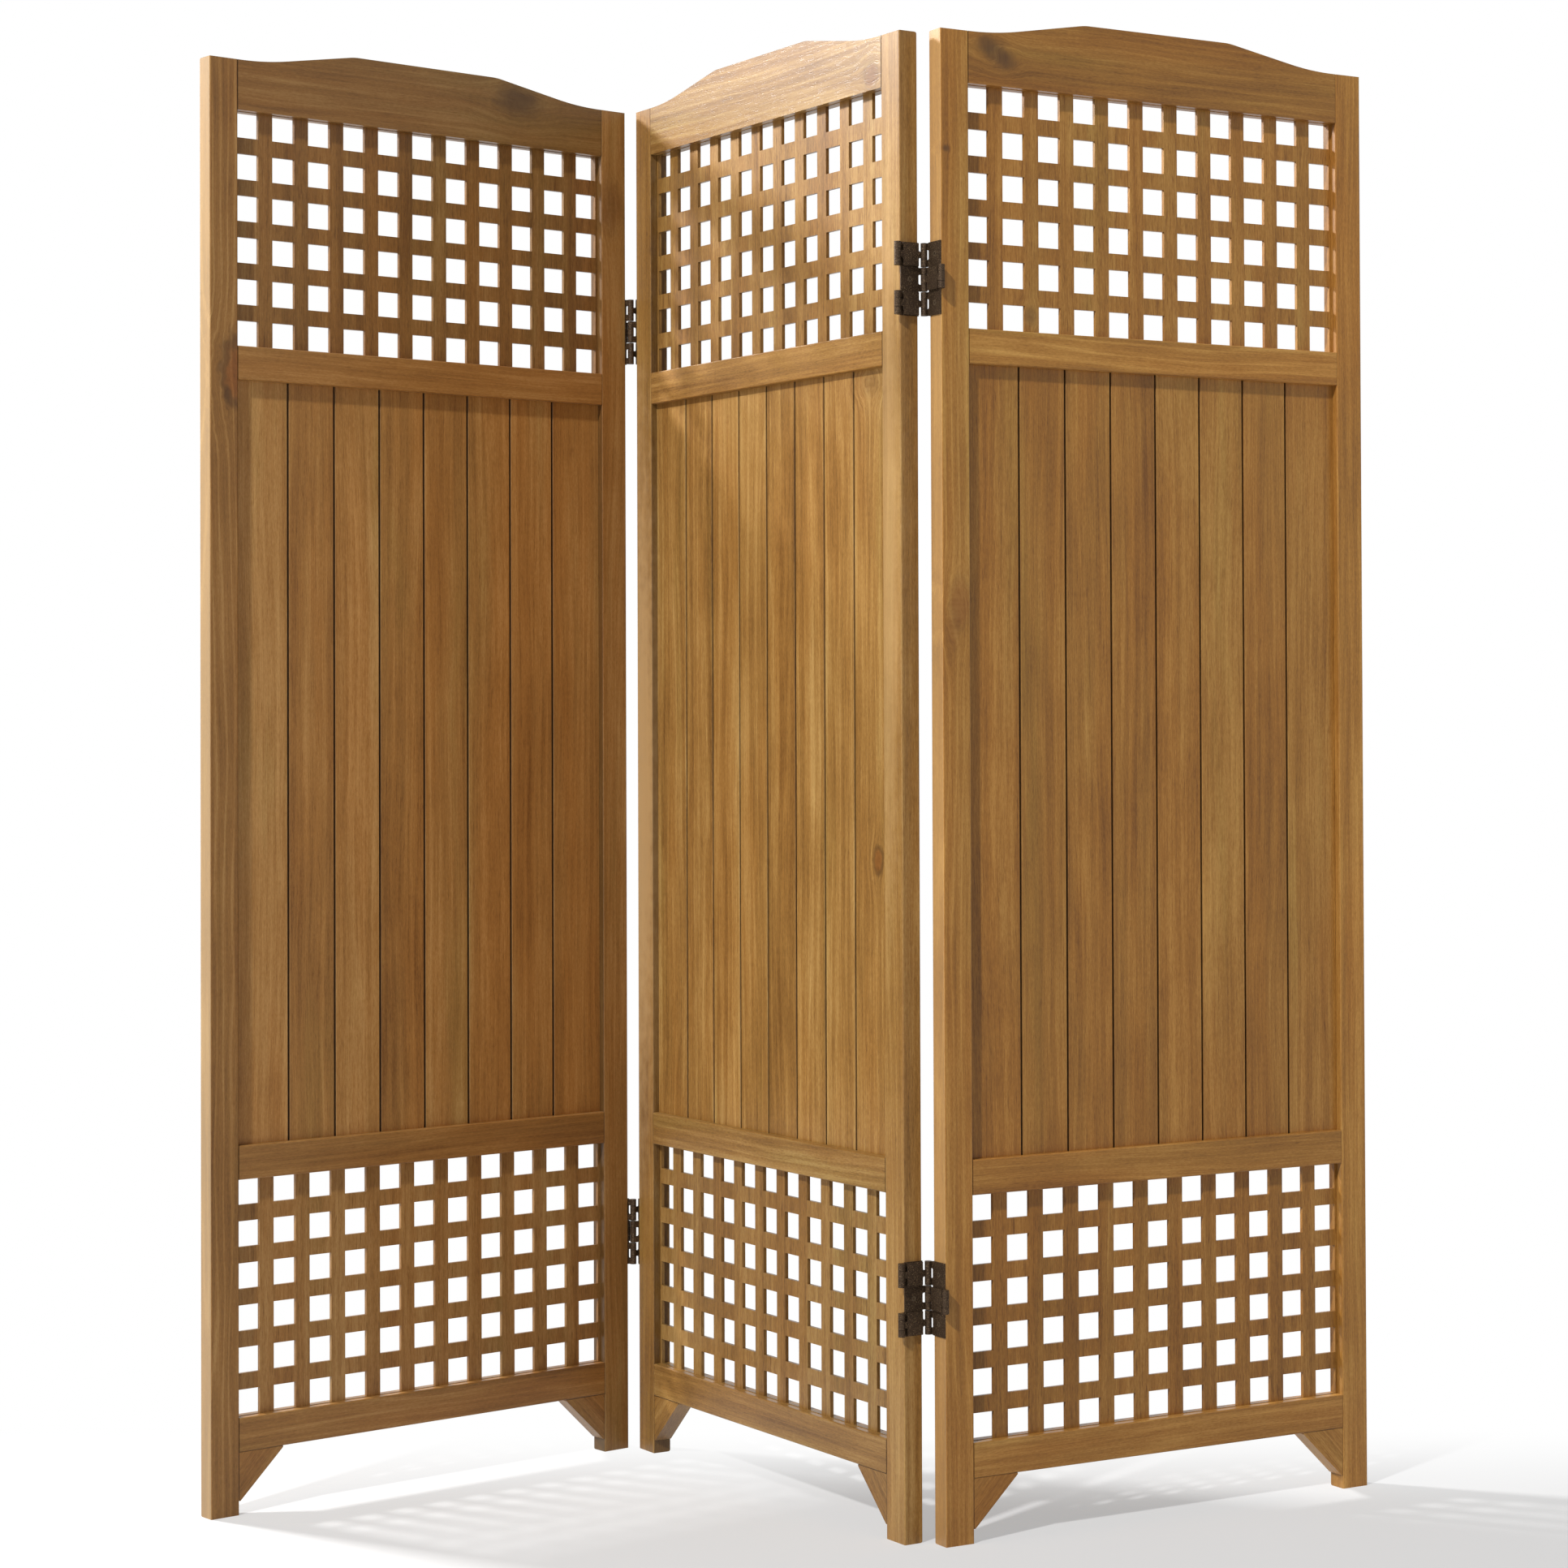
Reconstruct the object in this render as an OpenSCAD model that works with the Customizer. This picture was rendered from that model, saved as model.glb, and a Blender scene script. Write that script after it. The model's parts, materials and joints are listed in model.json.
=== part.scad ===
// Folding screen: three framed panels with an arched top, joined by double-acting hinges.
// A panel is two stiles, four rails, eight tongued boards, two perforated lattice sheets and
// two corner brackets. Each hinge has two leaves and three links on six pins, so it folds
// about an axis beyond either face of the timber.
// Millimetres, +Z up, the viewer stands at -Y. The origin is on the floor, under the middle
// of the footprint of the screen as it stands.

/* [Panel] */
// Width of one panel over its stiles
panel_w = 500; // [470:5:600]
// Thickness of the frame timber
frame_t = 20; // [17:0.5:26]
// Width of a stile
stile_w = 31; // [28:0.5:40]
// Radius on the long edges of the frame timber
edge_r = 1.2; // [0.5:0.1:2]
// Radius that eases the back edge of a stile at its two ends
end_r = 3; // [1:0.5:5]

/* [Rails] */
// Height of the bottom rail's underside above the floor
foot_h = 60.5; // [52:0.5:90]
// Height of the bottom rail
bottom_rail_h = 33; // [30:0.5:50]
// Height of each of the two rails between the boards and the lattices
cross_rail_h = 33; // [30:0.5:50]
// Height of the top rail where it meets the stiles
top_rail_h = 49; // [44:1:70]
// Height of the opening that the boards fill
boards_open_h = 744; // [500:2:900]
// Height of each opening that a lattice fills
lattice_open_h = 230; // [150:1:340]

/* [Arched top] */
// Rise of the crown above the tops of the stiles
crown_rise = 18; // [12:0.5:22]
// Width of the crown between the two shoulders
crown_w = 172; // [140:2:190]
// Radius of the hollow sweep beside each stile
sweep_r = 310; // [200:5:340]
// Radius that eases the shoulder of the crown
shoulder_r = 60; // [30:5:90]
// Level stretch of the top rail between the stile and the sweep
sweep_flat = 3; // [3:0.5:12]

/* [Joinery] */
// Length of the tenons on the rails
tenon_l = 20; // [12:0.5:22]
// Thickness of the tenons
tenon_t = 8; // [6:0.5:9]
// Height cut away from the rail above and below a tenon
tenon_shoulder = 8; // [7.5:0.5:10]
// Height of the top rail left above its tenons
tenon_cover = 12; // [9:0.5:16]
// How far boards and sheets reach into the grooves of the frame
groove_in = 6; // [4:0.5:6.5]
// Play of tenons, boards and sheets in their grooves, on each side
fit_gap = 0.1; // [0.05:0.05:0.2]
// Depth left free at the bottom of grooves and mortises
groove_spare = 0.5; // [0.3:0.1:1]

/* [Lattice] */
// Thickness of the lattice sheet
lattice_t = 3.6; // [3:0.1:6]
// Side of a square hole
lattice_hole = 25; // [18:0.5:30]
// Width of the bars between the holes
lattice_bar = 15.8; // [10:0.2:20]
// Least strip of sheet that stays between the outer holes and the frame
lattice_edge = 0.4; // [0.2:0.1:4]

/* [Boards] */
// Number of boards side by side
boards_n = 8; // [6:1:10]
// Width that shows of the first and of the last board
outer_board_w = 60; // [45:0.5:70]
// Thickness of a board
board_t = 6; // [5:0.5:9]
// Width of the open seam between two boards
seam_w = 2; // [1:0.2:3]
// Thickness of the tongue on a board's edge
tongue_t = 1.8; // [1.4:0.1:2.4]
// Length of the tongue
tongue_l = 6; // [4:0.5:8]
// Chamfer along the edges of a seam
board_ease = 0.5; // [0.2:0.1:1]

/* [Corner brackets] */
// Length of a bracket along the bottom rail
bracket_w = 49; // [35:1:60]
// Length of a bracket down the stile
bracket_h = 47; // [35:1:50]
// Blunt end left at the bracket's two tips
bracket_tip = 1.5; // [1:0.25:4]
// How far a bracket lies back from the faces of the frame
bracket_back = 0.4; // [0:0.1:2]

/* [Hinges] */
// Height of the middle of the lower hinges above the floor
lower_hinge_z = 228; // [170:1:280]
// Distance from the tops of the stiles down to the middle of the upper hinges
upper_hinge_drop = 233; // [130:1:260]
// Height of a hinge
hinge_h = 69; // [64.5:1.5:90]
// Thickness of the leaves
leaf_t = 1.2; // [1:0.1:1.5]
// Thickness of the links
link_t = 1.2; // [1:0.1:1.5]
// Outer radius of the knuckles
knuckle_r = 3.2; // [2.9:0.1:3.6]
// Radius of the hinge pins
pin_r = 1.6; // [1.2:0.1:1.8]
// Running clearance of a pin in a link's knuckle
pin_play = 0.05; // [0.03:0.01:0.08]
// Distance of each hinge axis beyond the face of the timber
axis_reach = 5; // [4.5:0.1:8]
// Height of each of a leaf's knuckles
leaf_knuckle_h = 6.5; // [4:0.5:7]
// Height of a link's neck
neck_h = 6; // [4:0.5:8]
// Gap between the plate of a link and its knuckles
link_window = 3; // [2:0.25:4]
// Gap above and below a link's knuckle
knuckle_gap = 0.3; // [0.2:0.05:0.5]
// Gap between the knuckles of two neighbouring thirds of the hinge
third_gap = 0.8; // [0.3:0.1:1]
// Radius of the rounded inner corners of the hinge's windows
window_r = 1.4; // [0.6:0.1:1.6]

/* [Hinge screws] */
// Length of a screw
screw_l = 14; // [10:0.5:16]
// Radius of a screw's shank
screw_r = 1.5; // [1.2:0.1:1.8]
// Radius of the countersunk head
screw_head_r = 2.5; // [2.3:0.1:3.5]
// Depth of the countersunk head
screw_head_h = 1.5; // [1.3:0.1:2.2]
// Length of the slots of the cross recess in the head
recess_l = 2.8; // [2.4:0.1:3.8]
// Width of those slots
recess_w = 0.7; // [0.5:0.05:0.9]
// Depth of those slots
recess_d = 0.9; // [0.6:0.1:1]

/* [Stance] */
// Turn of the centre panel from the line across the screen, in degrees
centre_turn = -57.8; // [-80:0.1:0]
// Fold of the left panel forward from flat, in degrees
left_fold = 97.3; // [0:0.1:180]
// Fold of the right panel backward from flat, in degrees
right_fold = 87.9; // [0:0.1:180]

/* [Hidden] */
$fn = 48;
PANELS = ["left", "centre", "right"];
PANEL_PARTS = ["left_stile", "right_stile", "top_rail", "upper_rail", "lower_rail", "bottom_rail",
    "left_bracket", "right_bracket", "boards", "upper_lattice", "lower_lattice"];
// a hinge is named after the side panel it carries and its level
SIDES = ["left", "right"];
LEVELS = ["lower", "upper"];
HINGE_PARTS = ["centre_leaf", "side_leaf", "outer_links", "middle_link"];

// overshoot of a cutting tool past the surface it opens
over = 1;
open_w = panel_w - 2 * stile_w;

// heights above the floor, from the bottom up
lower_open_z = foot_h + bottom_rail_h;
lower_rail_z = lower_open_z + lattice_open_h;
boards_z = lower_rail_z + cross_rail_h;
upper_rail_z = boards_z + boards_open_h;
upper_open_z = upper_rail_z + cross_rail_h;
top_rail_z = upper_open_z + lattice_open_h;
stile_h = top_rail_z + top_rail_h;

// lattice: as many whole holes as the opening shows
pitch = lattice_hole + lattice_bar;
lattice_cols = floor((open_w - 2 * lattice_edge + lattice_bar) / pitch);
lattice_rows = floor((lattice_open_h - 2 * lattice_edge + lattice_bar) / pitch);

// arched top: the slope that runs from the shoulder into the sweep
sweep_end = open_w / 2 - sweep_flat;
slope_run = sweep_end - crown_w / 2;
slope_span = 2 * sweep_r - crown_rise;
slope_tan_half = (slope_run - sqrt(slope_run * slope_run - slope_span * crown_rise)) / slope_span;
slope = 2 * atan(slope_tan_half);

// hinge: all sizes are measured from the edge plane of the centre panel's stile
hinge_zs = [lower_hinge_z, stile_h - upper_hinge_drop];
third_h = hinge_h / 3;
knuckle_sink = 0.1;
axis_out = knuckle_r - knuckle_sink;
axis_off = frame_t / 2 + axis_reach;
leaf_knuckle_z = (third_h - third_gap - leaf_knuckle_h) / 2;
link_knuckle_h = third_h - third_gap - 2 * leaf_knuckle_h - 2 * knuckle_gap;
link_plate_w = 2 * (axis_off - knuckle_r - link_window);
tab_root = 1;

// where the three panels stand before the origin is moved under the footprint
function turned(v, a) = [v.x * cos(a) - v.y * sin(a), v.x * sin(a) + v.y * cos(a)];
pivot = [panel_w / 2 + axis_out, axis_off];
right_turn = centre_turn + right_fold;
left_turn = centre_turn + left_fold;
right_centre = turned(pivot, centre_turn) + turned([pivot.x, -pivot.y], right_turn);
left_centre = turned(-pivot, centre_turn) + turned([-pivot.x, pivot.y], left_turn);
stances = [[left_centre, left_turn], [[0, 0], centre_turn], [right_centre, right_turn]];

// reach of the screen from the centre panel along the direction a
function panel_reach(s, a) = let (b = a - s[1])
    s[0].x * cos(a) + s[0].y * sin(a) + edge_r
    + (panel_w / 2 - edge_r) * abs(cos(b)) + (frame_t / 2 - edge_r) * abs(sin(b));
function knuckle_reach(s, u, v, a) = let (c = s[0] + turned([u * pivot.x, v * pivot.y], s[1]))
    c.x * cos(a) + c.y * sin(a) + knuckle_r;
function screen_reach(a) = max(concat(
    [for (s = stances) panel_reach(s, a)],
    [for (u = [-1, 1]) for (v = [-1, 1]) knuckle_reach(stances[1], u, v, a)],
    [for (v = [-1, 1]) knuckle_reach(stances[0], 1, v, a)],
    [for (v = [-1, 1]) knuckle_reach(stances[2], -1, v, a)]));
middle = [(screen_reach(0) - screen_reach(180)) / 2, (screen_reach(90) - screen_reach(270)) / 2];

// ---------------------------------------------------------------- shared shapes

// outline of a bar's cross-section with rounded corners
module bar_section(w, h) {
    square([w - 2 * edge_r, h], center = true);
    square([w, h - 2 * edge_r], center = true);
    for (x = [-1, 1], y = [-1, 1])
        translate([x * (w / 2 - edge_r), y * (h / 2 - edge_r)]) circle(edge_r);
}

// rail between the stiles with a tenon at each end, its underside at z = 0
module plain_rail(h) {
    translate([0, 0, h / 2]) rotate([90, 0, 90])
        linear_extrude(open_w, center = true) bar_section(frame_t, h);
    rail_tenons(tenon_shoulder, h - tenon_shoulder);
}

// pair of tenons from z0 to z1, as long as tenon_l and with a small root in the rail
module rail_tenons(z0, z1) {
    for (side = [-1, 1])
        translate([side * (open_w / 2 + (tenon_l - over) / 2), 0, (z0 + z1) / 2])
            cube([tenon_l + over, tenon_t, z1 - z0], center = true);
}

// groove of width w along a rail, opening at height z; dir is 1 where it opens upwards
module rail_groove(w, z, dir) {
    depth = groove_in + groove_spare;
    translate([0, 0, z + dir * (over - depth) / 2])
        cube([open_w + 2 * over, w + 2 * fit_gap, depth + over], center = true);
}

// ---------------------------------------------------------------- panel parts

// stile on the right of a panel; hinged sides carry the holes of the hinge screws
module stile(hinged) {
    inner = stile_w / 2;
    difference() {
        intersection() {
            linear_extrude(stile_h) bar_section(stile_w, frame_t);
            rotate([90, 0, 90]) linear_extrude(stile_w + 2 * over, center = true) stile_side();
        }
        stile_groove(lattice_t, lower_open_z, lattice_open_h);
        stile_groove(board_t, boards_z, boards_open_h);
        stile_groove(lattice_t, upper_open_z, lattice_open_h);
        mortise(foot_h + tenon_shoulder, lower_open_z - tenon_shoulder);
        mortise(lower_rail_z + tenon_shoulder, boards_z - tenon_shoulder);
        mortise(upper_rail_z + tenon_shoulder, upper_open_z - tenon_shoulder);
        mortise(top_rail_z + tenon_shoulder, stile_h - tenon_cover);
        if (hinged)
            for (z = hinge_zs) translate([inner, 0, z]) leaf_screws(recessed = false);
    }
}

// side view of a stile, its front face at the left and the ends of its back edge rounded
module stile_side() {
    translate([-frame_t / 2, 0]) square([frame_t - end_r, stile_h]);
    translate([-frame_t / 2, end_r]) square([frame_t, stile_h - 2 * end_r]);
    for (z = [end_r, stile_h - end_r]) translate([frame_t / 2 - end_r, z]) circle(end_r);
}

// groove in the inner edge of the right stile along an opening
module stile_groove(w, z, h) {
    depth = groove_in + groove_spare;
    translate([-stile_w / 2 + (depth - over) / 2, 0, z + h / 2])
        cube([depth + over, w + 2 * fit_gap, h + 2 * depth], center = true);
}

// mortise in the inner edge of the right stile for a tenon from z0 to z1
module mortise(z0, z1) {
    depth = tenon_l + groove_spare;
    translate([-stile_w / 2 + (depth - over) / 2, 0, (z0 + z1) / 2])
        cube([depth + over, tenon_t + 2 * fit_gap, z1 - z0 + 2 * fit_gap], center = true);
}

module right_stile(hinged) {
    color("peru") translate([(panel_w - stile_w) / 2, 0, 0]) stile(hinged);
}

module left_stile(hinged) {
    color("peru") mirror([1, 0, 0]) translate([(panel_w - stile_w) / 2, 0, 0]) stile(hinged);
}

module bottom_rail() {
    color("peru") translate([0, 0, foot_h]) difference() {
        plain_rail(bottom_rail_h);
        rail_groove(lattice_t, bottom_rail_h, 1);
    }
}

module lower_rail() {
    color("peru") translate([0, 0, lower_rail_z]) difference() {
        plain_rail(cross_rail_h);
        rail_groove(lattice_t, 0, -1);
        rail_groove(board_t, cross_rail_h, 1);
    }
}

module upper_rail() {
    color("peru") translate([0, 0, upper_rail_z]) difference() {
        plain_rail(cross_rail_h);
        rail_groove(board_t, 0, -1);
        rail_groove(lattice_t, cross_rail_h, 1);
    }
}

// right half of the arched outline, from the sweep's end up to the crown
shoulder_steps = 4;
sweep_steps = 12;
shoulder_x = crown_w / 2 - shoulder_r * slope_tan_half;
arch_half = concat(
    [for (i = [0:sweep_steps]) let (a = slope * i / sweep_steps)
        [sweep_end - sweep_r * sin(a), top_rail_h + sweep_r * (1 - cos(a))]],
    [for (i = [0:shoulder_steps]) let (a = slope * (1 - i / shoulder_steps))
        [shoulder_x + shoulder_r * sin(a), top_rail_h + crown_rise - shoulder_r * (1 - cos(a))]]);

module arch_outline() {
    last = len(arch_half) - 1;
    polygon(concat(
        [[-open_w / 2, 0], [open_w / 2, 0], [open_w / 2, top_rail_h]],
        arch_half,
        [for (i = [0:last]) [-arch_half[last - i].x, arch_half[last - i].y]],
        [[-open_w / 2, top_rail_h]]));
}

module top_rail() {
    color("peru") translate([0, 0, top_rail_z]) difference() {
        union() {
            rotate([90, 0, 0]) linear_extrude(frame_t, center = true) arch_outline();
            rail_tenons(tenon_shoulder, top_rail_h - tenon_cover);
        }
        rail_groove(lattice_t, 0, -1);
    }
}

// bracket in the corner under the right end of the bottom rail
module bracket() {
    color("peru") translate([open_w / 2, 0, foot_h]) rotate([90, 0, 0])
        linear_extrude(frame_t - 2 * bracket_back, center = true)
            polygon([[0, 0], [-bracket_w, 0], [-bracket_w, -bracket_tip],
                [-bracket_tip, -bracket_h], [0, -bracket_h]]);
}

// plan of one board between x0 and x1; its left edge is grooved and its right edge tongued
module board_plan(x0, x1, grooved, tongued) {
    half = board_t / 2;
    left = grooved ? board_ease : 0;
    right = tongued ? board_ease : 0;
    difference() {
        polygon([[x0, -half + left], [x0 + left, -half], [x1 - right, -half], [x1, -half + right],
            [x1, half - right], [x1 - right, half], [x0 + left, half], [x0, half - left]]);
        if (grooved)
            translate([x0 + (tongue_l - seam_w + groove_spare - over) / 2, 0])
                square([tongue_l - seam_w + groove_spare + over, tongue_t + 2 * fit_gap],
                    center = true);
    }
    if (tongued)
        translate([x1 + (tongue_l - over) / 2, 0])
            square([tongue_l + over, tongue_t], center = true);
}

module boards() {
    inner_board_w = (open_w - 2 * outer_board_w) / (boards_n - 2);
    first_seam = -open_w / 2 + outer_board_w;
    color("peru") translate([0, 0, boards_z - groove_in])
        linear_extrude(boards_open_h + 2 * groove_in)
            for (i = [0:boards_n - 1]) {
                first = i == 0;
                last = i == boards_n - 1;
                x0 = first ? -open_w / 2 - groove_in : first_seam + (i - 1) * inner_board_w + seam_w / 2;
                x1 = last ? open_w / 2 + groove_in : first_seam + i * inner_board_w - seam_w / 2;
                board_plan(x0, x1, !first, !last);
            }
}

// sheet with rows of square holes, its opening starting at height z
module lattice(z) {
    color("burlywood") translate([0, 0, z + lattice_open_h / 2]) rotate([90, 0, 0])
        linear_extrude(lattice_t, center = true) difference() {
            square([open_w + 2 * groove_in, lattice_open_h + 2 * groove_in], center = true);
            for (i = [0:lattice_cols - 1], j = [0:lattice_rows - 1])
                translate([(i - (lattice_cols - 1) / 2) * pitch, (j - (lattice_rows - 1) / 2) * pitch])
                    square(lattice_hole, center = true);
        }
}

// ---------------------------------------------------------------- hinge parts
// The frame of a leaf: x = 0 is the edge plane of its stile, y = 0 the middle of the timber
// and z = 0 the middle of the hinge. A leaf's knuckles are behind in the middle third and in
// front in the other two.

function leaf_side(third) = third == 0 ? 1 : -1;

module leaf() {
    color("#4a3b2f") difference() {
        union() {
            translate([0, -frame_t / 2, -hinge_h / 2]) cube([leaf_t, frame_t, hinge_h]);
            for (third = [-1:1], end = [-1, 1])
                translate([0, 0, third * third_h + end * leaf_knuckle_z])
                    leaf_knuckle(leaf_side(third), end);
        }
        for (third = [-1:1])
            translate([axis_out, leaf_side(third) * axis_off, third * third_h])
                cylinder(r = pin_r, h = third_h, center = true);
        leaf_screws(recessed = false);
    }
}

// rounded inner corner between two edges that meet at the origin, thick along +X
module window_corner(t) {
    rotate([90, 0, 90]) linear_extrude(t) difference() {
        translate([-tab_root, -tab_root]) square(window_r + tab_root);
        translate([window_r, window_r]) circle(window_r);
    }
}

// one knuckle of a leaf with the tab that carries it; end is 1 for the upper one of a pair
module leaf_knuckle(side, end) {
    tab_l = axis_reach + tab_root;
    translate([0, side * frame_t / 2, -end * leaf_knuckle_h / 2])
        mirror([0, side < 0 ? 1 : 0, 0]) mirror([0, 0, end > 0 ? 1 : 0]) window_corner(leaf_t);
    translate([leaf_t / 2, side * (axis_off - tab_l / 2), 0])
        cube([leaf_t, tab_l, leaf_knuckle_h], center = true);
    translate([axis_out, side * axis_off, 0]) cylinder(r = knuckle_r, h = leaf_knuckle_h, center = true);
}

// the three screws of a leaf, head flush with the leaf, shank into the timber
module leaf_screws(recessed = true) {
    for (third = [-1:1])
        translate([leaf_t, 0, third * third_h]) rotate([0, -90, 0]) screw(recessed);
}

// screw that points along +Z from the top of its head at z = 0
module screw(recessed) {
    difference() {
        union() {
            cylinder(r1 = screw_head_r, r2 = screw_r, h = screw_head_h);
            cylinder(r = screw_r, h = screw_l);
        }
        if (recessed)
            for (turn = [45, 135])
                rotate([0, 0, turn]) cube([recess_l, recess_w, 2 * recess_d], center = true);
    }
}

// the three pins held by a leaf's pairs of knuckles
module leaf_pins() {
    for (third = [-1:1])
        translate([axis_out, leaf_side(third) * axis_off, third * third_h])
            cylinder(r = pin_r, h = third_h - third_gap, center = true);
}

// link in one third of the hinge, between a knuckle in front and a knuckle behind
module link(third) {
    color("#4a3b2f") translate([axis_out, 0, third * third_h]) difference() {
        union() {
            cube([link_t, link_plate_w, third_h - 2 * third_gap], center = true);
            cube([link_t, 2 * axis_off, neck_h], center = true);
            for (side = [-1, 1]) {
                translate([0, side * axis_off, 0])
                    cylinder(r = knuckle_r, h = link_knuckle_h, center = true);
                for (end = [-1, 1])
                    translate([-link_t / 2, side * link_plate_w / 2, end * neck_h / 2])
                        mirror([0, side < 0 ? 1 : 0, 0]) mirror([0, 0, end < 0 ? 1 : 0])
                            window_corner(link_t);
            }
        }
        for (side = [-1, 1])
            translate([0, side * axis_off, 0])
                cylinder(r = pin_r + pin_play, h = third_h, center = true);
    }
}

// ---------------------------------------------------------------- places

module on_centre() {
    translate([-middle.x, -middle.y, 0]) rotate([0, 0, centre_turn]) children();
}

// side is 1 at the centre panel's right edge and -1 at its left edge
module on_centre_edge(side) {
    on_centre() rotate([0, 0, side > 0 ? 0 : 180]) translate([panel_w / 2, 0, 0]) children();
}

// what turns with the side panel, drawn as it lies when the screen is flat
module folded(side) {
    on_centre_edge(side)
        translate([axis_out, axis_off, 0])
            rotate([0, 0, side > 0 ? right_fold : left_fold])
                translate([-axis_out, -axis_off, 0]) children();
}

function side_of(name) = name == "left" ? -1 : 1;

module on_panel(name) {
    if (name == "centre") on_centre() children();
    else {
        side = side_of(name);
        folded(side) translate([2 * axis_out + panel_w / 2, 0, 0])
            rotate([0, 0, side > 0 ? 0 : 180]) children();
    }
}

// frame of the leaf on the side panel
module on_side_edge(side) {
    folded(side) translate([2 * axis_out, 0, 0]) rotate([0, 0, 180]) children();
}

// every leaf frame that belongs to one panel
module on_leaves(name) {
    for (z = hinge_zs) translate([0, 0, z])
        if (name == "centre") {
            for (side = [-1, 1]) on_centre_edge(side) children();
        } else on_side_edge(side_of(name)) children();
}

// ---------------------------------------------------------------- the screen

for (p = PANELS) {
    n = str(p, "_panel_");
    on_panel(p) left_stile(hinged = p != "left");
    on_panel(p) right_stile(hinged = p != "right");
    on_panel(p) top_rail();
    on_panel(p) upper_rail();
    on_panel(p) lower_rail();
    on_panel(p) bottom_rail();
    on_panel(p) mirror([1, 0, 0]) bracket();
    on_panel(p) bracket();
    on_panel(p) boards();
    on_panel(p) lattice(upper_open_z);
    on_panel(p) lattice(lower_open_z);
    color("#5a4a3c") on_leaves(p) leaf_pins();
    color("#6a5b4a") on_leaves(p) leaf_screws();
}

for (s = SIDES, level = [0, 1]) {
    n = str(s, "_", LEVELS[level], "_hinge_");
    side = side_of(s);
    z = hinge_zs[level];
    on_centre_edge(side) translate([0, 0, z]) leaf();
    on_side_edge(side) translate([0, 0, z]) leaf();
    on_centre_edge(side) translate([0, 0, z]) for (third = [-1, 1]) link(third);
    on_side_edge(side) translate([0, 0, z]) link(0);
}
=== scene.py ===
"""Looks of the folding screen: stained wood, hammered bronze hinges, floor, light and camera."""

import json
import math

import bpy
from mathutils import Matrix, Vector

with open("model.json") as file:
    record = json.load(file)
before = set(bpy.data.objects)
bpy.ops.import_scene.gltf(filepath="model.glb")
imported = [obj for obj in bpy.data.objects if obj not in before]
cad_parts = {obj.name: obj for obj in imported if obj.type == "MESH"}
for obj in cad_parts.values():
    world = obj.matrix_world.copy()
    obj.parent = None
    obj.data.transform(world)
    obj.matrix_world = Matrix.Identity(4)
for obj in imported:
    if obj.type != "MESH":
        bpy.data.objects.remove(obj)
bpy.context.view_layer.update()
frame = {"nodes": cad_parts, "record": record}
MOUNTS = {m["name"]: Vector(m["pos_m"]) for m in frame["record"]["mounts"]}
PANELS = ("left", "centre", "right")
SLOTS = {s["node"]: s["material_slot"] for s in frame["record"]["subparts"]}

# the photograph's frame and its fitted focal length in pixels, and the sensor in millimetres
IMAGE_SIDE = 1932
FOCAL_LENGTH = 4139.8
SENSOR = 36.0
CAMERA_PLACE = (0.0032, -3.3488, 0.7652)
CAMERA_YAW, CAMERA_ROLL, CAMERA_PITCH = 0.187, 0.198, 0.817
# the photograph's uprights lean together towards the top more than its framing alone gives
CAMERA_SHIFT = -0.0699

# Lights: azimuth and distance from the origin, height, width, upright size, height of the aim,
# power in watts. The sheen and the lit patches on the centre panel place the key and the faint
# window light beside it, the left panel's edge the side light, and the shadows beside the stiles
# and under the rails the fill. The powers were fitted to the photograph and then trimmed.
LIGHTS = {
    "key": (155.0, 3.0, 2.80, 0.40, 0.45, 1.0, 172.0),
    "window": (157.0, 3.0, 2.20, 1.10, 0.80, 1.1, 3.0),
    "side": (205.0, 3.5, 1.20, 1.20, 1.20, 0.8, 12.0),
    "fill": (236.1, 8.215, 7.73, 0.45, 0.45, 0.8, 930.0),
}
WORLD_LIGHT = 0.155
WORLD_SEEN = 1.0
FLOOR_COLOR = (0.70, 0.70, 0.70, 1.0)
FLOOR_HALF = 30.0
# share of plain white in what is seen of the floor, close by and behind
FLOOR_WHITE_NEAR = 0.40
FLOOR_WHITE_NEAR_Y = -0.10
FLOOR_WHITE_FAR_Y = 0.30

# wood colours, linear
WOOD_DARK = (0.170, 0.073, 0.017, 1.0)
WOOD_MID = (0.345, 0.170, 0.043, 1.0)
WOOD_LIGHT = (0.530, 0.310, 0.105, 1.0)
# colour of the painted light on the centre panel's stiles
PAINTED_LIGHT_COLOR = (0.560, 0.350, 0.150, 1.0)
# colour of the painted sheen on the stiles' left edge faces
PAINTED_SHEEN_COLOR = (0.500, 0.355, 0.185, 1.0)
RED_STAIN = (1.00, 0.82, 0.62)
OLIVE_STAIN = (0.94, 1.03, 1.02)
KNOT_COLOR = (0.075, 0.034, 0.012, 1.0)
KNOT_HEART = (1.00, 0.70, 0.58)
# painted shade in the seams between the boards
SEAM_SHADE_COLOR = (0.012, 0.005, 0.003, 1.0)
JOINT_SHADE = 0.45
JOINT_HALF = 0.0008
# how light each panel is drawn, the wood's tone with painted light that lightens the right panel
# and darkens the centre one, and how much of the redder stain it shows
PANEL_TONE = {"left": 0.935, "centre": 0.88, "right": 1.14}
PANEL_RED = {"left": 0.14, "centre": -0.05, "right": 0.05}
PANEL_TINT = {
    "left": (1.02, 1.01, 1.08), "centre": (0.98, 1.02, 1.01), "right": (1.06, 0.99, 0.78),
}
# how far the grain's values reach from plain to darkest and lightest: less is more contrast
PANEL_REACH = {"left": 0.40, "centre": 0.32, "right": 0.36}
# how much redder a panel's stain gets along it, and how much painted shade darkens it along it
# and downwards, for each metre
PANEL_RED_AND_SHADE_LEAN = {"left": (0.42, 0.14), "centre": (-0.10, 0.0), "right": (-0.08, 0.08)}
# height at which the downward painted shade is nil
SHADE_LEAN_HEIGHT = 0.75
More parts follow.
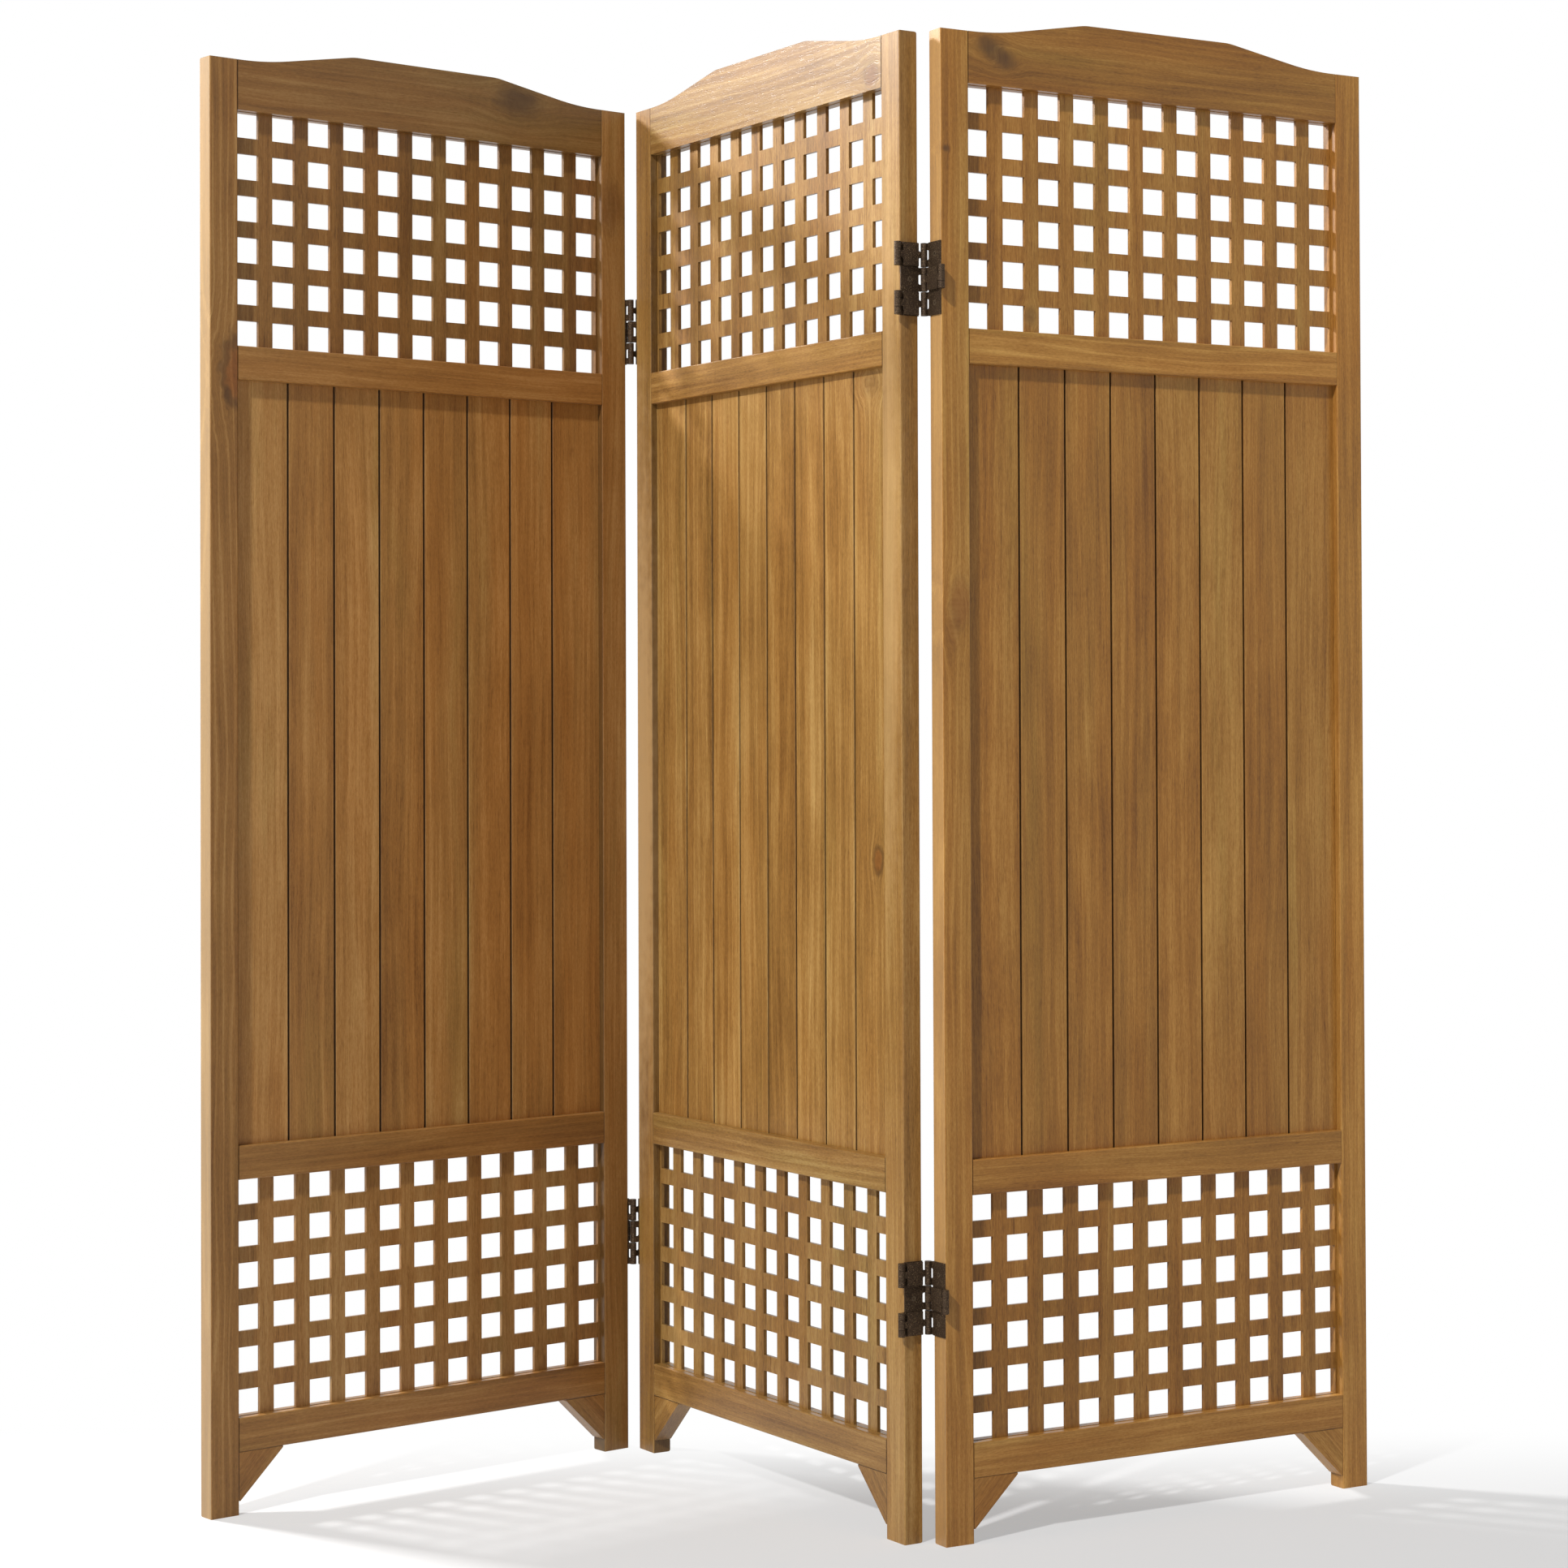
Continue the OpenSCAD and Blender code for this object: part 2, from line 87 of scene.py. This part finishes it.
# parts lighter or darker than the rest of their panel: the wood's own tone, with painted light in
# it for several of the centre panel's parts
PART_TONE = {
    "left_panel_top_rail": 0.66, "left_panel_left_stile": 0.86, "left_panel_boards": 1.15,
    "left_panel_right_stile": 0.96, "left_panel_upper_lattice": 0.81,
    "left_panel_lower_rail": 0.95,
    "centre_panel_top_rail": 0.88, "centre_panel_right_stile": 1.06, "centre_panel_boards": 1.14,
    "centre_panel_left_stile": 1.11, "centre_panel_upper_rail": 1.22,
    "centre_panel_upper_lattice": 1.12,
    "right_panel_top_rail": 0.88, "right_panel_upper_rail": 1.10, "right_panel_right_stile": 1.15,
}
LATTICE_TONE = 0.93
# END_SHADE is end grain taking more stain; HOLE_SHADE is painted shade on the lattice hole walls
END_SHADE, HOLE_SHADE = 0.22, 0.12

# Layers of the grain: features in a metre across, through and along it, detail, roughness, and
# weight. Those in GRAIN flow round the knots.
GRAIN = {
    "fibre": ((620.0, 620.0, 14.0), 3.0, 0.65, 0.46),
    "streak": ((150.0, 150.0, 2.2), 3.0, 0.6, 0.56),
    "band": ((48.0, 48.0, 1.3), 2.0, 0.5, 0.46),
    "speck": ((900.0, 900.0, 220.0), 2.0, 0.6, 0.44),
}
MOTTLE, MOTTLE_WEIGHT = ((18.0, 18.0, 6.0), 4.0, 0.6), 0.60
PORES, PORE_WEIGHT, LATTICE_PORE_WEIGHT = ((1300.0, 1300.0, 60.0), 1.0), 0.18, 0.30
STAIN_PATCHES, STAIN_OFFSET = ((20.0, 20.0, 1.8), 3.0, 0.6), (4.0, 2.0, 9.0)
RED_LEAST, RED_MOST, OLIVE_MOST = 0.22, 0.32, 0.8
# slow waver of the grain: features in a metre, and how far it strays in metres
WAVER, WAVER_REACH = (7.0, 7.0, 1.6), 0.030
# growth rings: mean place of the pith beside and behind the face, rings as radians in a metre,
# how uneven they are, and how thin their lines
PITH_BESIDE, PITH_SPREAD, PITH_BEHIND = 0.045, 0.02, 0.028
RINGS, RINGS_UNEVEN, RINGS_NOISE, RING_SHARPNESS = 620.0, 22.0, (28.0, 28.0, 2.4), 5.0
FIGURE, PLAIN_FIGURE = 0.08, 0.05
# how far and how strongly a knot bends the grain, and how ragged its outline is
KNOT_BEND_REACH, KNOT_BEND = 3.2, 0.80
RAGGED_NOISE, RAGGED = (110.0, 110.0, 70.0), 0.8
UPRIGHT, ACROSS = 0.0, 90.0
BRACKET_SLANT = 43.8
BOARDS = 8
OUTER_BOARD = 0.060
BOARD_TONE, BOARD_SHIFT = 0.08, (3.0, 5.0, 7.0)
PART_TONE_SPREAD, PART_SHIFT = 0.05, (0.37, 0.71, 1.13)
SEAM_CORE, SEAM_HALF = 0.0005, 0.0017
WOOD_ROUGHNESS, WOOD_ROUGHNESS_SPREAD = 0.30, 0.12
WOOD_SPECULAR, WOOD_BUMP = 0.36, 0.14
BUMP_DEPTH = 0.0004

# hammered bronze: dents, glints and patches as features in a metre
DENTS, GLINTS, METAL_PATCHES = 700.0, (1300.0, 1300.0, 1300.0), (60.0, 60.0, 60.0)
METALLIC, METAL_SPECULAR, METAL_BUMP, METAL_ROUGHNESS_SPREAD = 0.55, 0.30, 0.55, 0.2

# Knots and stains that show in the photo, in metres: place along the panel, height, half width,
# half height, how dark, and how much of it is a ringed knot rather than a smudge.
KNOTS = {
    "left_panel_top_rail": [(0.112, 1.410, 0.024, 0.015, 0.74, 0.15)],
    "left_panel_right_stile": [(0.232, 1.309, 0.013, 0.024, 0.50, 0.35)],
    "left_panel_left_stile": [
        (-0.217, 1.108, 0.019, 0.032, 0.55, 1.0), (-0.231, 1.083, 0.0030, 0.010, 0.55, 0.0),
    ],
    "centre_panel_top_rail": [(0.202, 1.377, 0.011, 0.012, 0.42, 0.6)],
    "centre_panel_boards": [
        (0.199, 0.634, 0.008, 0.013, 0.55, 0.9), (0.188, 1.088, 0.016, 0.010, 0.26, 0.0),
    ],
    "right_panel_top_rail": [
        (-0.199, 1.403, 0.010, 0.008, 0.62, 0.0), (-0.188, 1.395, 0.013, 0.010, 0.60, 0.0),
        (-0.176, 1.387, 0.011, 0.007, 0.60, 0.0),
    ],
    "right_panel_left_stile": [
        (-0.229, 0.876, 0.011, 0.022, 0.42, 0.45), (-0.239, 0.850, 0.007, 0.020, 0.28, 0.2),
        (-0.244, 1.300, 0.003, 0.003, 0.7, 0.0),
    ],
    "right_panel_upper_lattice": [(-0.145, 1.150, 0.007, 0.008, 0.40, 0.0)],
}
# parts that show more of their growth rings than the rest
FIGURES = {
    "left_panel_left_stile": 0.22, "left_panel_bottom_rail": 0.14, "centre_panel_boards": 0.10,
    "centre_panel_top_rail": 0.16, "right_panel_upper_rail": 0.14, "right_panel_left_stile": 0.14,
}
# painted light: paler patches where light falls on the centre panel's stiles, given the same way
PAINTED_LIGHT_MARKS = {
    "centre_panel_left_stile": [(-0.238, 0.700, 0.030, 0.380, 0.85)],
    "centre_panel_right_stile": [(0.227, 0.930, 0.022, 0.360, 0.50)],
}
# stiles whose left edge face gets a painted sheen in a pale colour, and how much of it shows
PAINTED_SHEEN_EDGES = {"left_panel_left_stile": 0.50, "right_panel_left_stile": 0.35}


# ---------------------------------------------------------------- node helpers

class Graph:
    """Short calls that build the nodes of a material or world."""

    def __init__(self, owner):
        owner.use_nodes = True
        self.nodes = owner.node_tree.nodes
        self.links = owner.node_tree.links
        self.shader = self.nodes.get("Principled BSDF")

    def feed(self, socket, value):
        if isinstance(value, bpy.types.NodeSocket):
            self.links.new(value, socket)
        else:
            socket.default_value = value

    def node(self, kind, inputs, **settings):
        made = self.nodes.new("ShaderNode" + kind)
        for key, value in settings.items():
            setattr(made, key, value)
        for key, value in inputs.items():
            self.feed(made.inputs[key], value)
        return made

    def math(self, operation, a, b=0.0, c=0.0):
        return self.node("Math", {0: a, 1: b, 2: c}, operation=operation).outputs[0]

    def vector(self, operation, a, b=(0.0, 0.0, 0.0)):
        return self.node("VectorMath", {0: a, 1: b}, operation=operation).outputs[0]

    def split(self, vector):
        return self.node("SeparateXYZ", {0: vector}).outputs

    def join(self, x, y, z):
        return self.node("CombineXYZ", {0: x, 1: y, 2: z}).outputs[0]

    def turned_back(self, vector, place, degrees):
        """The vector seen from a frame at place, turned by degrees about X, Y and Z."""
        turn = tuple(math.radians(d) for d in degrees)
        inputs = {"Vector": vector, "Location": place, "Rotation": turn}
        return self.node("Mapping", inputs, vector_type="TEXTURE").outputs[0]

    def noise(self, vector, stretch, detail=2.0, roughness=0.5):
        """Noise from 0 to 1, with stretch features in a metre along X, Y and Z."""
        inputs = {"Vector": self.vector("MULTIPLY", vector, stretch), "Scale": 1.0,
                  "Detail": detail, "Roughness": roughness}
        return self.node("TexNoise", inputs).outputs[0]

    def fade(self, value, start, end, to_start=0.0, to_end=1.0):
        """to_start where value is start, to_end where it is end, and smooth between."""
        inputs = {0: value, 1: start, 2: end, 3: to_start, 4: to_end}
        return self.node("MapRange", inputs, interpolation_type="SMOOTHSTEP").outputs[0]

    def blend(self, share, a, b):
        inputs = {0: share, 6: a, 7: b}
        return self.node("Mix", inputs, data_type="RGBA").outputs[2]

    def tint(self, color, factor):
        """The colour made brighter or darker by a factor."""
        return self.node("VectorMath", {0: color, 3: factor}, operation="SCALE").outputs[0]

    def length(self, vector):
        return self.node("VectorMath", {0: vector}, operation="LENGTH").outputs["Value"]

    def bump(self, height, strength):
        made = self.node("Bump", {"Height": height, "Strength": strength, "Distance": BUMP_DEPTH})
        self.feed(self.shader.inputs["Normal"], made.outputs[0])

    def ramp(self, value, stops):
        made = self.node("ValToRGB", {0: value})
        points = made.color_ramp.elements
        while len(points) < len(stops):
            points.new(0.5)
        for point, (at, color) in zip(points, stops):
            point.position = at
            point.color = color
        return made.outputs[0]

    def seen(self):
        """1 for rays that show a thing to the eye, straight, mirrored or through glass."""
        path = self.node("LightPath", {}).outputs
        mirrored = self.math("MAXIMUM", path["Is Glossy Ray"], path["Is Transmission Ray"])
        return self.math("MAXIMUM", path["Is Camera Ray"], mirrored)


# ---------------------------------------------------------------- places

def panel_place(panel):
    """Where a panel stands on the floor, and its turn about Z in degrees."""
    left = MOUNTS[panel + "_panel_left_foot"]
    right = MOUNTS[panel + "_panel_right_foot"]
    along = right - left
    return (left + right) / 2, math.degrees(math.atan2(along.y, along.x))


def panel_extent(panel, node):
    """Lowest and highest corner of a CAD node in its panel's own frame."""
    place, turn = panel_place(panel)
    back = Matrix.Rotation(math.radians(-turn), 3, "Z")
    points = [back @ (v.co - place) for v in frame["nodes"][node].data.vertices]
    low = Vector(min(p[i] for p in points) for i in range(3))
    high = Vector(max(p[i] for p in points) for i in range(3))
    return low, high


def opening_width(panel):
    left = panel_extent(panel, panel + "_panel_left_stile")[1].x
    right = panel_extent(panel, panel + "_panel_right_stile")[0].x
    return right - left


# ---------------------------------------------------------------- wood

def grain_of(part):
    if part.endswith("bracket"):
        return BRACKET_SLANT if part.startswith("left") else -BRACKET_SLANT
    return ACROSS if part.endswith("rail") else UPRIGHT


def mark_place(g, point, mark, grain_turn):
    """How far a point lies to the side of an oval mark, and how far from its middle.

    The second distance is in the mark's half sizes and made a little ragged.
    """
    u, z, wide, high = mark
    back = Matrix.Rotation(math.radians(-grain_turn), 3, "Y")
    centre = back @ Vector((u, 0.0, z))
    half = back @ Vector((wide, 0.0, high))
    x, _, along = g.split(point)
    dx = g.math("SUBTRACT", x, centre.x)
    dz = g.math("SUBTRACT", along, centre.z)
    flat = g.join(g.math("DIVIDE", dx, abs(half.x)), 0.0, g.math("DIVIDE", dz, abs(half.z)))
    ragged = g.noise(point, RAGGED_NOISE, 3.0)
    return dx, g.math("ADD", g.length(flat), g.math("MULTIPLY_ADD", ragged, RAGGED, -RAGGED / 2))


def board_layout(g, u, width, seed):
    """A board's own tone and grain, and how much painted shade of a seam shows, at a place along
    the panel.
    """
    inner = (width - 2 * OUTER_BOARD) / (BOARDS - 2)
    steps = g.math("MULTIPLY_ADD", u, 1 / inner, BOARDS / 2 - 1)
    steps = g.math("MINIMUM", g.math("MAXIMUM", steps, -0.5), BOARDS - 1.5)
    board = g.node("TexWhiteNoise", {"W": g.math("ADD", g.math("FLOOR", steps), seed)},
                   noise_dimensions="1D").outputs
    tone = g.math("MULTIPLY_ADD", board["Value"], 2 * BOARD_TONE, -BOARD_TONE)
    nearest = g.math("ABSOLUTE", g.math("SUBTRACT", steps, g.math("ROUND", steps)))
    seam = g.fade(nearest, SEAM_CORE / inner, SEAM_HALF / inner, 1.0, 0.0)
    return tone, g.vector("MULTIPLY", board["Color"], BOARD_SHIFT), seam


def bend_round_knots(g, across, point, name, grain_turn):
    """The place across the grain, bent round the knots, and the shares of each knot's colours."""
    shares = []
    for *oval, dark, ringed in KNOTS.get(name, ()):
        dx, distance = mark_place(g, point, oval, grain_turn)
        bend = g.fade(distance, 0.0, KNOT_BEND_REACH, KNOT_BEND, 0.0)
        across = g.math("SUBTRACT", across, g.math("MULTIPLY", dx, bend))
        from_rim = g.math("ABSOLUTE", g.math("SUBTRACT", distance, 1.0))
        rim = g.fade(from_rim, 0.05, 0.40, dark * ringed, 0.0)
        smudge = g.fade(distance, 0.35, 1.7, dark * (1 - 0.65 * ringed), 0.0)
        heart = g.fade(distance, 0.5, 1.2, 0.75 * ringed, 0.0)
        shares.append((heart, g.math("MAXIMUM", rim, smudge)))
    return across, shares


def growth_rings(g, across, through, sample, seed):
    """Thin lines where the growth rings about a pith beside and behind the face come out."""
    pith = PITH_BESIDE + PITH_SPREAD * math.sin(seed * 2.3)
    depth = g.math("ADD", through, PITH_BEHIND)
    radius = g.length(g.join(g.math("SUBTRACT", across, pith), depth, 0.0))
    uneven = g.math("MULTIPLY", g.noise(sample, RINGS_NOISE), RINGS_UNEVEN)
    wave = g.math("SINE", g.math("MULTIPLY_ADD", radius, RINGS, uneven))
    return g.math("POWER", g.math("MULTIPLY_ADD", wave, 0.5, 0.5), RING_SHARPNESS)


def joint_line(g, panel, part, u, z, width):
    """Shade of the thin line where a part meets a stile, or a bracket meets its rail."""
    off = g.math("ABSOLUTE", g.math("SUBTRACT", g.math("ABSOLUTE", u), width / 2))
    if "bracket" in part:
        top = panel_extent(panel, panel + "_panel_bottom_rail")[0].z
        off = g.math("MINIMUM", off, g.math("ABSOLUTE", g.math("SUBTRACT", z, top)))
    return g.fade(off, 0.0, JOINT_HALF, JOINT_SHADE, 0.0)


def stained(g, color, panel, u, sample):
    """The wood's colour under the panel's tint, with patches of redder and of greener stain."""
    color = g.vector("MULTIPLY", color, PANEL_TINT[panel])
    patches = g.noise(g.vector("ADD", sample, STAIN_OFFSET), *STAIN_PATCHES)
    least, most = PANEL_RED[panel] - RED_LEAST, PANEL_RED[panel] + RED_MOST
    red = g.fade(patches, 0.36, 0.64, least, most)
    red = g.math("MULTIPLY_ADD", u, 2 * PANEL_RED_AND_SHADE_LEAN[panel][0], red)
    color = g.blend(red, color, g.vector("MULTIPLY", color, RED_STAIN))
    olive = g.fade(patches, 0.44, 0.30, 0.0, OLIVE_MOST)
    return g.blend(olive, color, g.vector("MULTIPLY", color, OLIVE_STAIN))


def wood(name, part, panel, seed):
    """Honey-stained wood with a satin lacquer, for one part of one panel."""
    material = bpy.data.materials.new(name)
    g = Graph(material)
    lattice, boards = "lattice" in part, part == "boards"
    grain_turn = grain_of(part)
    place, turn = panel_place(panel)
    coordinates = g.node("TexCoord", {}).outputs
    own = g.turned_back(coordinates["Object"], place, (0, 0, turn))
    own_normal = g.turned_back(coordinates["Normal"], (0, 0, 0), (0, 0, turn))
    point = g.turned_back(own, (0, 0, 0), (0, grain_turn, 0))
    normal = g.turned_back(own_normal, (0, 0, 0), (0, grain_turn, 0))
    u, _, z = g.split(own)
    width = opening_width(panel)

    if boards:
        tone, shift, seam = board_layout(g, u, width, seed)
    else:
        tone, shift = PART_TONE_SPREAD * math.sin(seed * 1.9), tuple(seed * k for k in PART_SHIFT)
    sample = g.vector("ADD", point, shift)

    x, through, along_grain = g.split(point)
    across = g.math("MULTIPLY_ADD", g.noise(sample, WAVER), WAVER_REACH, x)
    across, knots = bend_round_knots(g, across, point, name, grain_turn)
    ring = growth_rings(g, across, through, sample, seed)

    # the grain follows the bent position, so that it flows round the knots
    flow = g.vector("ADD", g.join(across, through, along_grain), shift)
    layers = {layer: (g.noise(flow, *spec[:3]), spec[3]) for layer, spec in GRAIN.items()}
    layers["mottle"] = (g.noise(sample, *MOTTLE), MOTTLE_WEIGHT)
    pore = g.fade(g.noise(flow, *PORES), 0.56, 0.76)

    figure = FIGURES.get(name, PLAIN_FIGURE if lattice or boards else FIGURE)
    value = g.math("MULTIPLY_ADD", ring, figure, 0.5 - figure * 0.3)
    for layer, weight in layers.values():
        value = g.math("ADD", value, g.math("MULTIPLY_ADD", layer, weight, -weight / 2))
    value = g.math("ADD", value, tone)
    pore_weight = LATTICE_PORE_WEIGHT if lattice else PORE_WEIGHT
    value = g.math("SUBTRACT", value, g.math("MULTIPLY", pore, pore_weight))
    reach = PANEL_REACH[panel]
    stops = [(0.5 - reach, WOOD_DARK), (0.5, WOOD_MID), (0.5 + reach, WOOD_LIGHT)]
    color = stained(g, g.ramp(value, stops), panel, u, sample)
    # painted light on the centre panel's stiles
    for *oval, strength in PAINTED_LIGHT_MARKS.get(name, ()):
        _, distance = mark_place(g, point, oval, grain_turn)
        color = g.blend(g.fade(distance, 0.3, 1.3, strength, 0.0), color, PAINTED_LIGHT_COLOR)
    # painted sheen on the left edge face of these stiles
    if name in PAINTED_SHEEN_EDGES:
        edge = g.fade(g.split(own_normal)[0], -0.6, -0.9, 0.0, PAINTED_SHEEN_EDGES[name])
        color = g.blend(edge, color, PAINTED_SHEEN_COLOR)
    for heart, dark in knots:
        color = g.blend(heart, color, g.vector("MULTIPLY", color, KNOT_HEART))
        color = g.blend(dark, color, KNOT_COLOR)
    # painted shade in the seams between the boards
    if boards:
        color = g.blend(seam, color, SEAM_SHADE_COLOR)

    # end grain takes more stain, painted shade darkens the walls of the lattice holes, and joints
    # show as thin dark lines
    end = g.fade(g.math("ABSOLUTE", g.split(normal)[2]), 0.6, 0.9)
    # the level holds painted light as well as the wood's tone
    level = PANEL_TONE[panel] * PART_TONE.get(name, 1.0) * (LATTICE_TONE if lattice else 1.0)
    # painted shade: the panel darker along it and towards the bottom
    along, down = PANEL_RED_AND_SHADE_LEAN[panel]
    shade = g.math("MULTIPLY_ADD", u, -along, level - SHADE_LEAN_HEIGHT * down)
    shade = g.math("MULTIPLY_ADD", z, down, shade)
    shade = g.math("MULTIPLY_ADD", end, -END_SHADE, shade)
    if lattice:
        # painted shade on the walls of the lattice holes
        wall = g.fade(g.math("ABSOLUTE", g.split(own_normal)[1]), 0.6, 0.4)
        shade = g.math("MULTIPLY_ADD", wall, -HOLE_SHADE, shade)
    else:
        shade = g.math("SUBTRACT", shade, joint_line(g, panel, part, u, z, width))
    g.feed(g.shader.inputs["Base Color"], g.tint(color, shade))
    fibre = layers["fibre"][0]
    rough = g.math("MULTIPLY_ADD", fibre, WOOD_ROUGHNESS_SPREAD, WOOD_ROUGHNESS)
    g.feed(g.shader.inputs["Roughness"], rough)
    g.shader.inputs["Specular IOR Level"].default_value = WOOD_SPECULAR
    height = g.math("SUBTRACT", g.math("MULTIPLY", fibre, 0.5), pore)
    g.bump(height, WOOD_BUMP)
    return material


# ---------------------------------------------------------------- metal

def bronze(name, base, glint, roughness):
    """Dark bronze lacquer with a fine hammered surface, worn to a warmer metal in specks."""
    material = bpy.data.materials.new(name)
    g = Graph(material)
    point = g.node("TexCoord", {}).outputs["Object"]
    dents = g.node("TexVoronoi", {"Vector": point, "Scale": DENTS}).outputs["Distance"]
    speck = g.fade(g.noise(point, GLINTS, 2.0), 0.54, 0.70)
    patch = g.noise(point, METAL_PATCHES, 3.0)
    color = g.blend(g.math("MULTIPLY", speck, patch), base, glint)
    g.feed(g.shader.inputs["Base Color"], color)
    rough = g.math("MULTIPLY_ADD", patch, METAL_ROUGHNESS_SPREAD, roughness)
    g.feed(g.shader.inputs["Roughness"], rough)
    g.shader.inputs["Metallic"].default_value = METALLIC
    g.shader.inputs["Specular IOR Level"].default_value = METAL_SPECULAR
    g.bump(dents, METAL_BUMP)
    return material


METALS = {
    "hinge_metal": bronze("hinge_bronze", (0.050, 0.030, 0.017, 1), (0.42, 0.28, 0.15, 1), 0.44),
    "pin_metal": bronze("pin_bronze", (0.090, 0.060, 0.036, 1), (0.46, 0.33, 0.19, 1), 0.36),
    "screw_metal": bronze("screw_bronze", (0.120, 0.084, 0.052, 1), (0.44, 0.32, 0.20, 1), 0.36),
}


def finish_nodes():
    """Gives every CAD node its material."""
    for seed, (name, node) in enumerate(sorted(frame["nodes"].items())):
        if SLOTS[name] in METALS:
            material = METALS[SLOTS[name]]
        else:
            panel = name.split("_")[0]
            part = name.removeprefix(panel + "_panel_")
            material = wood(name, part, panel, seed + 1)
        node.data.materials.clear()
        node.data.materials.append(material)


# ---------------------------------------------------------------- floor, light and camera

def make_floor():
    """Pale floor that fades to plain white behind the screen."""
    square = ((-1, -1), (1, -1), (1, 1), (-1, 1))
    corners = [(x * FLOOR_HALF, y * FLOOR_HALF, 0.0) for x, y in square]
    mesh = bpy.data.meshes.new("floor")
    mesh.from_pydata(corners, [], [(0, 1, 2, 3)])
    floor = bpy.data.objects.new("floor", mesh)
    bpy.context.scene.collection.objects.link(floor)
    paint = bpy.data.materials.new("floor_paint")
    g = Graph(paint)
    g.shader.inputs["Base Color"].default_value = FLOOR_COLOR
    g.shader.inputs["Roughness"].default_value = 0.9
    g.shader.inputs["Specular IOR Level"].default_value = 0.0
    y = g.split(g.node("TexCoord", {}).outputs["Object"])[1]
    white = g.fade(y, FLOOR_WHITE_NEAR_Y, FLOOR_WHITE_FAR_Y, FLOOR_WHITE_NEAR, 1.0)
    glow = g.node("Emission", {"Color": (1, 1, 1, 1), "Strength": 1.0}).outputs[0]
    share = g.math("MULTIPLY", g.seen(), white)
    mixed = g.node("MixShader", {0: share, 1: g.shader.outputs[0], 2: glow}).outputs[0]
    g.feed(g.nodes["Material Output"].inputs[0], mixed)
    mesh.materials.append(paint)


def make_world():
    """Plain white to the eye and in reflections, and a soft even light on the object."""
    world = bpy.data.worlds.new("studio")
    bpy.context.scene.world = world
    g = Graph(world)
    light = g.nodes["Background"]
    light.inputs[0].default_value = (1, 1, 1, 1)
    light.inputs[1].default_value = WORLD_LIGHT
    white = g.node("Background", {"Color": (1, 1, 1, 1), "Strength": WORLD_SEEN}).outputs[0]
    mixed = g.node("MixShader", {0: g.seen(), 1: light.outputs[0], 2: white}).outputs[0]
    g.feed(g.nodes["World Output"].inputs[0], mixed)


def make_light(name, spec):
    """A soft rectangular light that faces the object at the height aim."""
    azimuth, distance, height, wide, tall, aim, power = spec
    data = bpy.data.lights.new(name, "AREA")
    data.shape = "RECTANGLE"
    data.size, data.size_y = wide, tall
    data.energy = power
    light = bpy.data.objects.new(name, data)
    angle = math.radians(azimuth)
    light.location = (distance * math.cos(angle), distance * math.sin(angle), height)
    away = light.location - Vector((0.0, 0.0, aim))
    light.rotation_euler = away.to_track_quat("Z", "Y").to_euler()
    light.visible_camera = False
    bpy.context.scene.collection.objects.link(light)


def make_camera():
    data = bpy.data.cameras.new("camera")
    data.sensor_width = SENSOR
    data.lens = FOCAL_LENGTH / IMAGE_SIDE * SENSOR
    data.shift_y = CAMERA_SHIFT
    camera = bpy.data.objects.new("camera", data)
    turns = ((CAMERA_YAW, "Z"), (CAMERA_ROLL, "Y"), (CAMERA_PITCH + 90.0, "X"))
    pose = Matrix.Translation(CAMERA_PLACE)
    for degrees, axis in turns:
        pose = pose @ Matrix.Rotation(math.radians(degrees), 4, axis)
    camera.matrix_world = pose
    bpy.context.scene.collection.objects.link(camera)
    bpy.context.scene.camera = camera


make_camera()
finish_nodes()
make_floor()
make_world()
for light_name, light_spec in LIGHTS.items():
    make_light(light_name, light_spec)
bpy.context.scene.view_settings.view_transform = "Standard"
